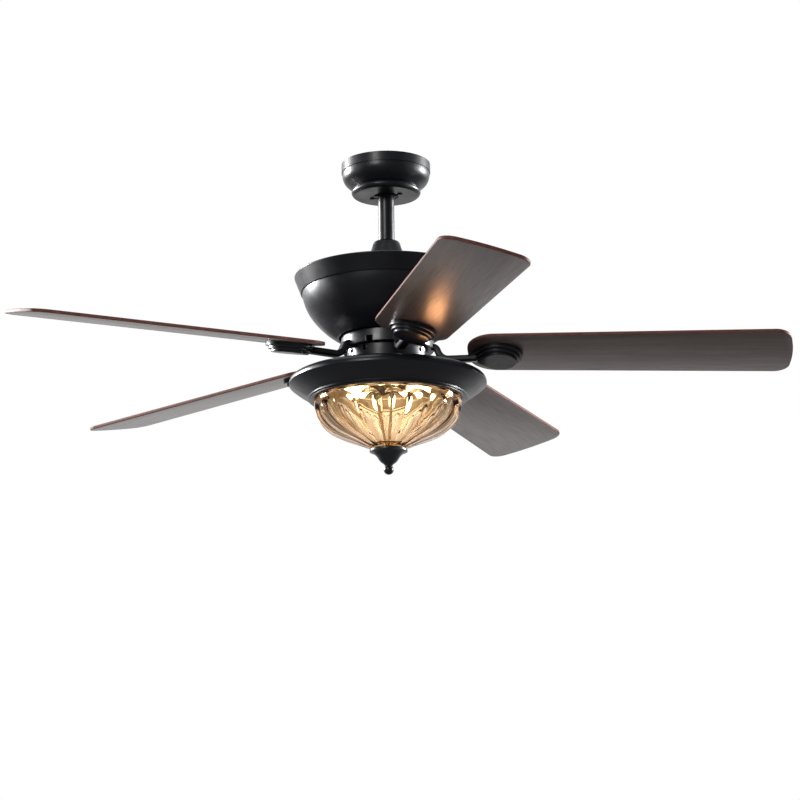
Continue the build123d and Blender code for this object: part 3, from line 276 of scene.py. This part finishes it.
# %% [markdown]
# The blades are board with a printed walnut veneer. The grain has to run along each
# blade, and the five blades point five ways, so this finish reads the piece's own UV
# map, in which U runs along the blade in metres. Three layers are stacked: broad
# streaks of tone, fine fibres stretched forty to one, and short dark pores.

# %% Walnut veneer
FIBRE = 0.0016
ALONG_FIBRE = (0.025, 1, 1)


def make_walnut():
    finish, tree, shader = new_finish("walnut_veneer", (0.05, 0.036, 0.032), 0.34)
    shader.inputs["Coat Weight"].default_value = 0.20
    shader.inputs["Coat Roughness"].default_value = 0.30
    shader.inputs["Specular IOR Level"].default_value = 0.60
    shader.inputs["Specular Tint"].default_value = (1.0, 0.88, 0.82, 1)
    streaks = ramp(tree, noise(tree, 0.016, 4, (0.05, 1, 1), "UV"),
                   [(0.30, (0.047, 0.031, 0.027)), (0.52, (0.068, 0.045, 0.039)),
                    (0.72, (0.092, 0.062, 0.053))])
    fibres = ramp(tree, noise(tree, FIBRE, 5, ALONG_FIBRE, "UV"),
                  [(0.32, (0.62,)), (0.60, (1.0,))])
    pores = ramp(tree, noise(tree, 0.0009, 2, (0.06, 1, 1), "UV"),
                 [(0.62, (1.0,)), (0.74, (0.55,))])
    grain = tree.nodes.new("ShaderNodeMix")
    grain.data_type = "RGBA"
    grain.blend_type = "MULTIPLY"
    grain.inputs["Factor"].default_value = 1.0
    wood = tree.nodes.new("ShaderNodeMix")
    wood.data_type = "RGBA"
    wood.blend_type = "MULTIPLY"
    wood.inputs["Factor"].default_value = 1.0
    tree.links.new(streaks, grain.inputs["A"])
    tree.links.new(fibres, grain.inputs["B"])
    tree.links.new(grain.outputs["Result"], wood.inputs["A"])
    tree.links.new(pores, wood.inputs["B"])
    tree.links.new(wood.outputs["Result"], shader.inputs["Base Color"])
    gloss = ramp(tree, noise(tree, FIBRE, 5, ALONG_FIBRE, "UV"),
                 [(0.3, (0.42,)), (0.7, (0.28,))])
    tree.links.new(gloss, shader.inputs["Roughness"])
    bump(tree, shader, fibres, 0.00008, 0.5)
    return finish


# %% [markdown]
# Round the rim of a blade the veneer stops and the edge of the board shows, sealed with
# a reddish stain. It is lighter and warmer than the face, and it is the line that the
# eye follows round each blade.

# %% Stained edge
def make_stained_edge():
    finish, tree, shader = new_finish("stained_edge", (0.16, 0.055, 0.040), 0.58)
    shader.inputs["Specular IOR Level"].default_value = 0.25
    stain = ramp(tree, noise(tree, 0.004, 4, (0.3, 0.3, 3)),
                 [(0.30, (0.085, 0.028, 0.022)), (0.70, (0.200, 0.075, 0.055))])
    tree.links.new(stain, shader.inputs["Base Color"])
    bump(tree, shader, noise(tree, 0.0010, 3), 0.00008, 0.5)
    return finish


# %% [markdown]
# The bowl is clear cognac glass. Real tinted glass is coloured all through, so a thin
# wall looks pale and a thick edge looks deep amber. A volume that swallows blue and
# green gives exactly that, which a tint on the surface can't. The surface itself only
# bends light and carries the slight ripple that a mould leaves.

# %% Amber glass
def make_amber_glass():
    finish, tree, shader = new_finish("amber_glass", (1.0, 0.93, 0.82), 0.02)
    shader.inputs["Transmission Weight"].default_value = 1.0
    shader.inputs["IOR"].default_value = 1.5
    swallow = tree.nodes.new("ShaderNodeVolumeAbsorption")
    swallow.inputs["Color"].default_value = (1.0, 0.74, 0.42, 1)
    swallow.inputs["Density"].default_value = 90.0
    tree.links.new(swallow.outputs["Volume"], tree.nodes["Material Output"].inputs["Volume"])
    bump(tree, shader, noise(tree, 0.025, 1), 0.0004, 0.35)
    return finish


# %% [markdown]
# The lamps are lit. A frosted bulb is brightest where its filament stands behind the
# glass and falls off towards the neck, so the glow is a mottle of two warm whites.

# %% Lit lamp
LAMP_GLOW = 12.0


def make_lit_lamp():
    finish, tree, shader = new_finish("lit_lamp", (1.0, 0.9, 0.75), 0.3)
    glow = ramp(tree, noise(tree, 0.012, 1), [(0.3, (1.0, 0.66, 0.30)), (0.7, (1.0, 0.82, 0.52))])
    tree.links.new(glow, shader.inputs["Emission Color"])
    shader.inputs["Emission Strength"].default_value = LAMP_GLOW
    return finish


# %% [markdown]
# The rest is hardware: plated screws, rolled and threaded tube, cast and laminated motor
# metal, enamelled copper wire, rubber and moulded plastic. Each gets its own short tree,
# because they are seen when the fan is looked at from above or taken apart.

# %% Metals
def make_metal(name, dark, light, rough, grain, stretch=(1, 1, 1), depth=0.00004):
    finish, tree, shader = new_finish(name, light, rough, 1.0)
    tone = ramp(tree, noise(tree, grain, 4, stretch), [(0.3, dark), (0.7, light)])
    tree.links.new(tone, shader.inputs["Base Color"])
    gloss = ramp(tree, noise(tree, 3 * grain), [(0.3, (rough * 0.8,)), (0.7, (rough * 1.3,))])
    tree.links.new(gloss, shader.inputs["Roughness"])
    bump(tree, shader, noise(tree, grain, 3, stretch), depth, 0.6)
    return finish


def make_ringed(name, colour, light, rough, pitch, metal, depth):
    """Rings along Z, `pitch` metres apart: threads, laminations or windings."""
    finish, tree, shader = new_finish(name, colour, rough, metal)
    place = tree.nodes.new("ShaderNodeTexCoord")
    rings = tree.nodes.new("ShaderNodeTexWave")
    rings.bands_direction = "Z"
    rings.inputs["Scale"].default_value = pi / 10 / pitch
    rings.inputs["Distortion"].default_value = 0.3
    tree.links.new(place.outputs["Object"], rings.inputs["Vector"])
    # The low part of each ring, where the bump presses it in, is painted darker. In the grooves of
    # a thread and between the turns of wire that is painted shade; between the plates of the motor
    # core it is the plates' darker joint.
    tone = ramp(tree, rings.outputs["Fac"], [(0.1, colour), (0.9, light)])
    tree.links.new(tone, shader.inputs["Base Color"])
    bump(tree, shader, rings.outputs["Fac"], depth, 0.8)
    return finish


# %% [markdown]
# Moulded plastic and rubber have no grain, only a slight mottle of tone and the fine
# texture that was etched into the mould.

# %% Plastics and rubber
def make_moulded(name, dark, light, rough, grain, depth):
    finish, tree, shader = new_finish(name, light, rough)
    tone = ramp(tree, noise(tree, 12 * grain), [(0.3, dark), (0.7, light)])
    tree.links.new(tone, shader.inputs["Base Color"])
    bump(tree, shader, noise(tree, grain, 2), depth, 0.7)
    return finish


# %% [markdown]
# The frame's record names a finish for every piece. This is the list of them, plus two
# more that only pieces modelled here use: the stained edge of the blades and the bright
# lining of the light pan.

# %% All the finishes
finishes = {
    "black_enamel": make_black_enamel(),
    "black_cast": make_black_cast(),
    "walnut": make_walnut(),
    "amber_glass": make_amber_glass(),
    "lamp_glass": make_lit_lamp(),
    "zinc_steel": make_metal("zinc_steel", (0.46, 0.46, 0.44), (0.66, 0.66, 0.64), 0.30, 0.004),
    "cast_aluminium": make_metal("cast_aluminium", (0.42, 0.42, 0.43), (0.62, 0.62, 0.63), 0.48,
                                 0.0025, depth=0.0002),
    "core_steel": make_ringed("core_steel", (0.10, 0.10, 0.11), (0.34, 0.34, 0.35), 0.42, 0.0008,
                              1.0, 0.0001),
    "copper_wire": make_ringed("copper_wire", (0.30, 0.09, 0.035), (0.75, 0.30, 0.12), 0.32, 0.0011,
                               1.0, 0.0003),
    "black_plastic": make_moulded("black_plastic", (0.014, 0.013, 0.013), (0.022, 0.021, 0.020),
                                  0.45, 0.0006, 0.00003),
    "lead_sleeve": make_moulded("lead_sleeve", (0.30, 0.30, 0.31), (0.46, 0.46, 0.47), 0.5,
                                0.0010, 0.00003),
    "lamp_cap": make_ringed("lamp_cap", (0.50, 0.38, 0.18), (0.80, 0.66, 0.38), 0.25, 0.0033,
                            1.0, 0.0003),
    "socket_shell": make_moulded("socket_shell", (0.050, 0.036, 0.026), (0.080, 0.058, 0.040),
                                 0.42, 0.0008, 0.00004),
    "rubber": make_moulded("rubber", (0.012, 0.012, 0.012), (0.022, 0.022, 0.022), 0.7,
                           0.0005, 0.00005),
    "brushed_rod": make_ringed("brushed_rod", (0.36, 0.29, 0.20), (0.72, 0.62, 0.46), 0.30, 0.0015,
                               1.0, 0.0004),
}
stained_edge = make_stained_edge()
pan_lining = make_metal("pan_lining", (0.55, 0.53, 0.50), (0.74, 0.71, 0.67), 0.38,
                        0.006)
print("finishes", len(finishes) + 2)

# %% [markdown]
# The frame says which finish each of its pieces takes, so the pieces that keep their
# shape are dressed in one loop.

# %% Dress the frame
slot_of = {row["node"]: row["material_slot"] for row in frame["record"]["subparts"]}
for name, node in frame["nodes"].items():
    node.data.materials.clear()
    node.data.materials.append(finishes[slot_of[name]])
print("dressed", len(slot_of), "pieces")


# %% [markdown]
# Modelling helpers. `clear` leaves nothing selected, because an operator acts on
# everything that is. `pick` selects the points of the mesh being edited that pass a
# test, which is how a point is chosen without a mouse. `settle` puts the finished
# piece's place into its mesh and leaves the object at the origin.

# %% Modelling helpers
SAME_POINT = 0.02 * MM


def clear():
    if bpy.context.mode != "OBJECT":
        bpy.ops.object.mode_set(mode="OBJECT")
    bpy.ops.object.select_all(action="DESELECT")


def pick(piece, test):
    """Selects the points for which test(co) is true; returns how many."""
    shape = bmesh.from_edit_mesh(piece.data)
    bpy.ops.mesh.select_all(action="DESELECT")
    chosen = [v for v in shape.verts if test(v.co)]
    for v in chosen:
        v.select = True
    shape.select_flush(True)
    bmesh.update_edit_mesh(piece.data)
    return len(chosen)


def settle(piece, name):
    """Ends a piece: names it, applies its place, and leaves it alone selected."""
    clear()
    piece.name = name
    piece.data.name = name
    piece.select_set(True)
    bpy.context.view_layer.objects.active = piece
    bpy.ops.object.transform_apply(location=True, rotation=True, scale=True)
    return piece


def through(points, steps):
    """A smooth curve through (radius, height) points, `steps` to each stretch."""
    ends = [points[0]] + list(points) + [points[-1]]
    curve = []
    for a, b, c, d in zip(ends, ends[1:], ends[2:], ends[3:]):
        for k in range(steps):
            t = k / steps
            curve.append(tuple(0.5 * (2 * q + (r - p) * t + (2 * p - 5 * q + 4 * r - s) * t * t
                                      + (3 * q - p - 3 * r + s) * t ** 3)
                               for p, q, r, s in zip(a, b, c, d)))
    return curve + [points[-1]]


def turned(outline, around):
    """A closed ring of revolution: a circle is pulled from point to point of its outline."""
    clear()
    first_r, first_z = outline[0]
    bpy.ops.mesh.primitive_circle_add(vertices=around, radius=first_r, location=(0, 0, 0))
    piece = bpy.context.object
    bpy.ops.object.mode_set(mode="EDIT")
    bpy.ops.mesh.select_all(action="SELECT")
    bpy.ops.transform.translate(value=(0, 0, first_z))
    for (r1, z1), (r2, z2) in zip(outline, outline[1:] + outline[:1]):
        bpy.ops.mesh.extrude_region_move(TRANSFORM_OT_translate={"value": (0, 0, z2 - z1)})
        bpy.ops.transform.resize(value=(r2 / r1, r2 / r1, 1), center_override=(0, 0, z2))
    bpy.ops.mesh.select_all(action="SELECT")
    bpy.ops.mesh.remove_doubles(threshold=SAME_POINT)
    bpy.ops.mesh.normals_make_consistent(inside=False)
    bpy.ops.object.mode_set(mode="OBJECT")
    return piece


# %% [markdown]
# A blade is a long board with big round corners at the arm, smaller ones at the tip, and
# a tip that bulges a few millimetres. It starts as a plane. Its corners are pulled to
# the taper, a vertex bevel rounds them, and the flat outline is pulled up to the board's
# thickness. A narrow bevel then eases the sharp edges, as a router does, and that
# small round is what catches the light.

# %% One blade, lying flat along X
BLADE_ROOT, BLADE_TIP = 132 * MM, 660 * MM
ROOT_HALF, TIP_HALF = 59.2 * MM, 70.5 * MM
ROOT_CORNER, TIP_CORNER = 46 * MM, 22 * MM
TIP_BULGE = 8 * MM
BLADE_THICK = 5.5 * MM
EASED = 1.1 * MM
SHARP = radians(50)
ROOT_STEPS, TIP_STEPS, END_STEPS = 14, 10, 11

clear()
tip_x = BLADE_TIP - TIP_BULGE
bpy.ops.mesh.primitive_plane_add(size=1, location=(0, 0, 0))
blade = bpy.context.object
bpy.ops.object.mode_set(mode="EDIT")
for end, half in ((BLADE_ROOT, ROOT_HALF), (tip_x, TIP_HALF)):
    for side in (-1, 1):
        near = -0.5 if end == BLADE_ROOT else 0.5
        pick(blade, lambda co: abs(co.x - near) < 0.01 and abs(co.y - 0.5 * side) < 0.01)
        bpy.ops.transform.translate(value=(end - near, side * (half - 0.5), 0))
pick(blade, lambda co: co.x < BLADE_ROOT + MM)
bpy.ops.mesh.bevel(affect="VERTICES", offset=ROOT_CORNER, segments=ROOT_STEPS)
pick(blade, lambda co: co.x > tip_x - MM)
bpy.ops.mesh.bevel(affect="VERTICES", offset=TIP_CORNER, segments=TIP_STEPS)
pick(blade, lambda co: co.x > tip_x - 0.01 * MM)
bpy.ops.mesh.subdivide(number_cuts=END_STEPS)
shape = bmesh.from_edit_mesh(blade.data)
rows = sorted({round(v.co.y, 6) for v in shape.verts if v.co.x > tip_x - TIP_CORNER})
for row in rows:
    share = 1 - (row / TIP_HALF) ** 2
    if share > 0.01:
        pick(blade, lambda co: co.x > tip_x - TIP_CORNER and abs(co.y - row) < 0.002 * MM)
        bpy.ops.transform.translate(value=(TIP_BULGE * share, 0, 0))
bpy.ops.mesh.select_all(action="SELECT")
bpy.ops.mesh.extrude_region_move(TRANSFORM_OT_translate={"value": (0, 0, BLADE_THICK)})
bpy.ops.mesh.select_all(action="SELECT")
bpy.ops.mesh.normals_make_consistent(inside=False)
bpy.ops.object.mode_set(mode="OBJECT")
ease = blade.modifiers.new("ease", "BEVEL")
ease.width = EASED
ease.segments = 3
ease.limit_method = "ANGLE"
ease.angle_limit = SHARP
bpy.ops.object.modifier_apply(modifier="ease")
print("blade", [round(side / MM, 1) for side in blade.dimensions], "mm")

# %% [markdown]
# The veneer covers the two flat faces and the stain covers the eased rim. Which is which
# can be read from a face's direction. The UV map is the blade's own length and width in
# metres, made while the blade still lies flat, so it stays with the wood when the blade
# is tilted and turned.

# %% Veneer, edge and UV map
blade.data.materials.append(finishes["walnut"])
blade.data.materials.append(stained_edge)
for face in blade.data.polygons:
    face.material_index = 0 if abs(face.normal.z) > 0.9 else 1
uv = blade.data.uv_layers[0]
for loop in blade.data.loops:
    co = blade.data.vertices[loop.vertex_index].co
    uv.data[loop.index].uv = (co.x, co.y)
bpy.ops.object.shade_smooth_by_angle(angle=radians(35))
print("veneered faces", sum(face.material_index == 0 for face in blade.data.polygons))

# %% [markdown]
# Each blade droops a little towards its tip and is pitched about its own length, which
# is what moves the air. One tilted blade is copied five times round the axis, and each
# copy has its own mesh and rides on the rotor.

# %% Five blades on the rotor
BLADE_COUNT = 5
GRAIN_STEP = 0.31       # moves the grain, so that no two blades have the same
PITCH, DROOP = radians(12.6), radians(1.62)
blade_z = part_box("switch_housing")[1].z - 3 * MM
along = Vector((cos(DROOP), 0, -sin(DROOP)))
upward = Vector((sin(DROOP) * cos(PITCH), sin(PITCH), cos(DROOP) * cos(PITCH)))
tilt = Matrix((along, upward.cross(along), upward)).transposed().to_4x4()

for index in range(BLADE_COUNT):
    copy = blade.copy()
    copy.data = blade.data.copy()
    bpy.context.collection.objects.link(copy)
    for corner in copy.data.uv_layers[0].data:
        corner.uv.y += GRAIN_STEP * index
    spin = Matrix.Rotation(2 * pi * index / BLADE_COUNT, 4, "Z")
    copy.matrix_world = spin @ Matrix.Translation((0, 0, blade_z)) @ tilt
    settle(copy, f"wood_blade_{index + 1}")
    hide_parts(f"blade_{index + 1}")
    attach(copy, "rotor")
bpy.data.objects.remove(blade)
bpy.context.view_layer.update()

# %% [markdown]
# The glass bowl is pressed in a mould that cuts a ring of long scoops into its outside:
# wide and round-topped under the rim, running together in sharp ridges, and narrowing
# to the neck. The inside stays smooth, so every scoop is a lens and breaks the lamps
# into bright blots. The wall is turned first, with twelve points to each flute, and then
# every ring of outside points is drawn inwards flute by flute.

# %% Bowl wall
FLUTES, POINTS = 18, 12
BELLY_STEPS, INSIDE_EVERY = 10, 3
WALL = 6.2 * MM
NECK_R, HOLE_R = 30.5 * MM, 5.4 * MM
glass_low, glass_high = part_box("glass_bowl")
rim_r, rim_z, neck_z = glass_high.x, glass_high.z, glass_low.z
reach, depth = rim_r - NECK_R, rim_z - neck_z
belly = [(1.0, 0.0), (0.985, 0.16), (0.91, 0.42), (0.66, 0.68), (0.23, 0.88), (0.0, 1.0)]
outside = through([(NECK_R + reach * r, rim_z - depth * z) for r, z in belly], BELLY_STEPS)
inside = []
before, after = [outside[0]] + outside, outside[1:] + [outside[-1]]
for (ra, za), (r, z), (rb, zb) in zip(before, outside, after):
    length = hypot(rb - ra, zb - za)
    inner_z = z - WALL * (rb - ra) / length
    inside.append((r + WALL * (zb - za) / length, max(inner_z, neck_z + WALL)))
inside[0] = (rim_r - WALL, rim_z)
inside = [(r, z) for r, z in inside if z <= rim_z and r > HOLE_R]
neck = [(HOLE_R, neck_z), (HOLE_R, neck_z + WALL)]
section = outside + neck + inside[::-1][::INSIDE_EVERY]
bowl = turned(section, FLUTES * POINTS)
print("bowl wall", len(bowl.data.vertices), "points")


# %% [markdown]
# A scoop is deepest along its middle and comes to nothing on the two ridges beside it.
# Its top is an arch, because it starts lower down near the ridges. The points that share
# a ring and a place across the flute are picked together in all the flutes at once and
# drawn towards the axis. The ridges are creased, so that subdivision leaves them sharp.

# %% Scoops
SCOOP_TOP, SCOOP_ROUND, SCOOP_FADE = 0.10, 0.23, 0.06
SCOOP_DEEP = 5.2 * MM
NECK_SHARE = 0.35           # how much of a scoop's depth is left at the neck
TOO_SHALLOW = 0.01 * MM
RIDGE_CREASE = 0.75


def scoop(across, down):
    """Depth of the scoop: across runs from 0 in its middle to 1 on the ridge."""
    start = SCOOP_TOP + SCOOP_ROUND * (1 - sqrt(1 - across * across))
    grown = min(1.0, max(0.0, (down - start) / SCOOP_FADE))
    return SCOOP_DEEP * (1 - across * across) * grown * grown * (3 - 2 * grown)


def across_flute(co):
    """0 in the middle of a flute, 1 on the ridge between two."""
    turns = Vector((co.x, co.y)).angle_signed(Vector((1, 0))) / flute
    return abs((turns + 0.5) % 1 - 0.5) * 2


def on_ring(r, z, across):
    """A test for the points of one outside ring at one place across the flutes."""
    return lambda co: (abs(co.z - z) < SAME_POINT and abs(hypot(co.x, co.y) - r) < SAME_POINT
                       and abs(across_flute(co) - across) < 0.01)


def on_ridge(co):
    r = hypot(co.x, co.y)
    if r < HOLE_R + MM or across_flute(co) <= 0.99:
        return False
    wall_r = min(outside, key=lambda point: abs(point[1] - co.z))[0]
    return (rim_z - co.z) / depth > SCOOP_TOP + SCOOP_ROUND and abs(r - wall_r) < 0.5 * MM


bpy.context.view_layer.objects.active = bowl
bpy.ops.object.mode_set(mode="EDIT")
flute = 2 * pi / FLUTES
for r, z in outside[:-1]:
    narrowing = NECK_SHARE + (1 - NECK_SHARE) * (r - NECK_R) / reach
    for step in range(POINTS // 2):
        across = step / (POINTS / 2)
        inwards = scoop(across, (rim_z - z) / depth) * narrowing
        if inwards >= TOO_SHALLOW:
            pick(bowl, on_ring(r, z, across))
            share = 1 - inwards / r
            bpy.ops.transform.resize(value=(share, share, 1), center_override=(0, 0, z))
print("ridge points", pick(bowl, on_ridge))
bpy.ops.transform.edge_crease(value=RIDGE_CREASE)
bpy.ops.object.mode_set(mode="OBJECT")
soft = bowl.modifiers.new("soft", "SUBSURF")
soft.levels = soft.render_levels = 1
bpy.ops.object.modifier_apply(modifier="soft")
bpy.ops.object.shade_smooth()
bowl.data.materials.append(finishes["amber_glass"])
settle(bowl, "fluted_bowl")
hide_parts("glass_bowl")
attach(bowl, "bowl")
print("fluted bowl", len(bowl.data.polygons), "faces")

# %% [markdown]
# The light pan is one steel pressing with a rolled rim and two small steps down to the
# glass. Outside it is black, inside it is pale so that it throws the lamps' light back
# down. It is turned from its section like the bowl, and each face is lined or painted
# after the part of the section that it lies nearest to.

# %% Light pan
PAN_WALL = 1.6 * MM
PAN_ROUND = 128
pan_low, pan_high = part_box("light_pan")
pan_r, top_z, seat_z = pan_high.x, pan_high.z, pan_low.z
lip_z = top_z - 19 * MM
outer = [(5.4 * MM, top_z)] + through(
    [(76 * MM, top_z), (112 * MM, top_z - 1.6 * MM), (145 * MM, top_z - 7.0 * MM),
     (157 * MM, lip_z + 7.6 * MM), (pan_r - 1.2 * MM, lip_z + 3.8 * MM), (pan_r, lip_z)], 4)
under = through([(pan_r, lip_z - 2.5 * MM), (pan_r - 1.5 * MM, lip_z - 4.4 * MM),
                 (148.0 * MM, lip_z - 14.0 * MM), (131 * MM, seat_z + 4.8 * MM)], 4)
steps = [(131 * MM, seat_z + 2.4 * MM), (128 * MM, seat_z + 2.4 * MM), (128 * MM, seat_z),
         (117 * MM, seat_z), (117 * MM, seat_z + PAN_WALL), (126.4 * MM, seat_z + PAN_WALL),
         (126.4 * MM, seat_z + 2.4 * MM + PAN_WALL)]
lining = [(r - PAN_WALL, z + PAN_WALL) for r, z in under[::-1]] + \
         [(r - PAN_WALL, z - PAN_WALL) for r, z in outer[:0:-1]] + [(5.4 * MM, top_z - PAN_WALL)]
pan = turned(outer + under + steps + lining, PAN_ROUND)
pan.data.materials.append(finishes["black_enamel"])
pan.data.materials.append(pan_lining)
black_part = outer + under + steps[:4]
pale_part = steps[4:] + lining


def nearest(line, r, z):
    """Distance from a point to the middle of the nearest stretch of a section line."""
    return min(hypot((a[0] + b[0]) / 2 - r, (a[1] + b[1]) / 2 - z) for a, b in zip(line, line[1:]))


for face in pan.data.polygons:
    r, z = hypot(face.center.x, face.center.y), face.center.z
    face.material_index = 1 if nearest(pale_part, r, z) < nearest(black_part, r, z) else 0
rolled = pan.modifiers.new("rolled", "BEVEL")
rolled.width = 0.5 * MM
rolled.segments = 2
rolled.limit_method = "ANGLE"
rolled.angle_limit = radians(40)
bpy.context.view_layer.objects.active = pan
bpy.ops.object.modifier_apply(modifier="rolled")
bpy.ops.object.shade_smooth_by_angle(angle=radians(40))
settle(pan, "two_tone_pan")
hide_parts("light_pan")
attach(pan, "fan")
print("light pan", len(pan.data.polygons), "faces")
